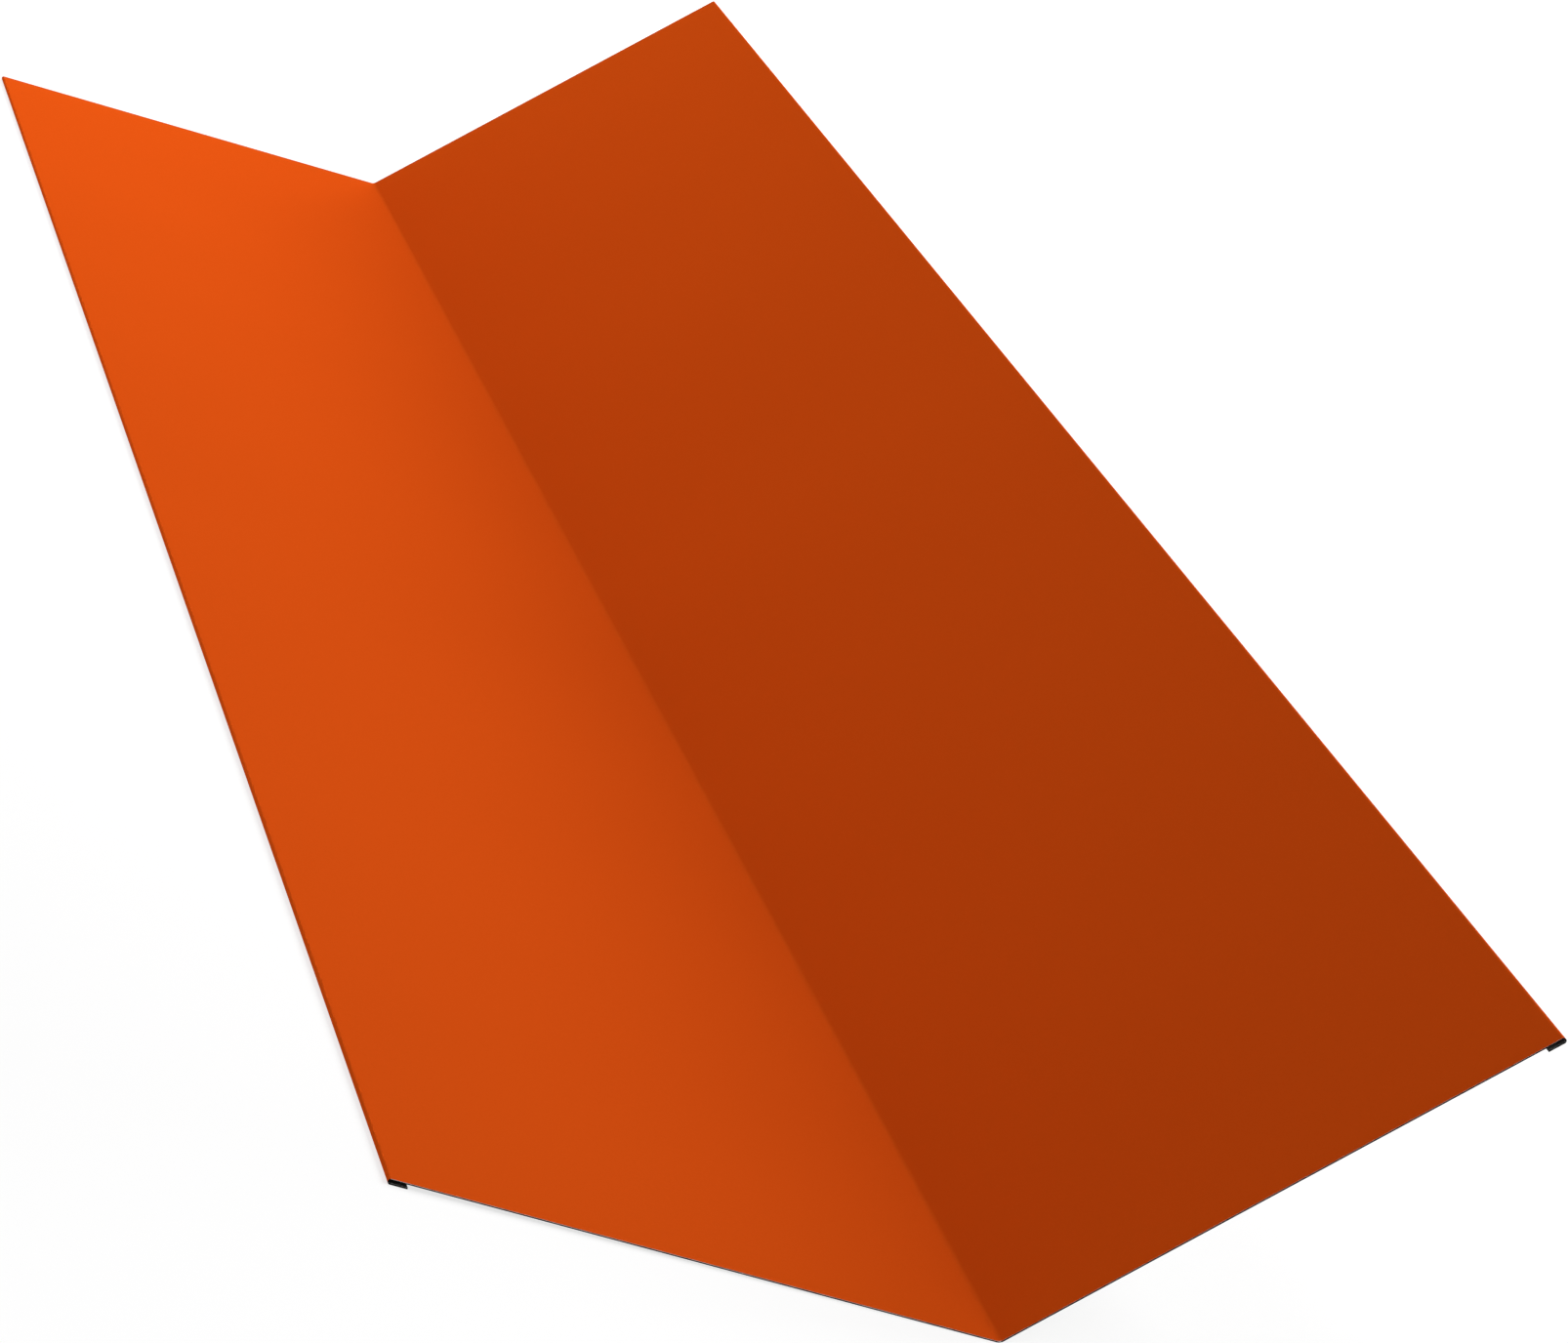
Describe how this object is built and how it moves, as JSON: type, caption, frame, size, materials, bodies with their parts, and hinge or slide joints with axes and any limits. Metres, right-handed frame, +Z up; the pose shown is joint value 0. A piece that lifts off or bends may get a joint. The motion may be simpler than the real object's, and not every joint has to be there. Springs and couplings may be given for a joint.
{
  "type": "roof valley flashing",
  "caption": "Shallow V of painted steel sheet that lines a roof valley and carries off rain, with its long edges turned under into open hems.",
  "frame": {"origin": "on the floor, under the middle of the bounding box", "axes": "+Y along the length, from the end that is near in the picture to the far one, +X across from the wing that lies on the floor towards the raised wing, +Z up"},
  "size_m": [0.515, 3, 0.2105],
  "materials": {
    "coated_sheet": "matt orange coil coating on galvanised steel sheet"
  },
  "bodies": {
    "root": {"valley_flashing": "coated_sheet"}
  },
  "joints": []
}
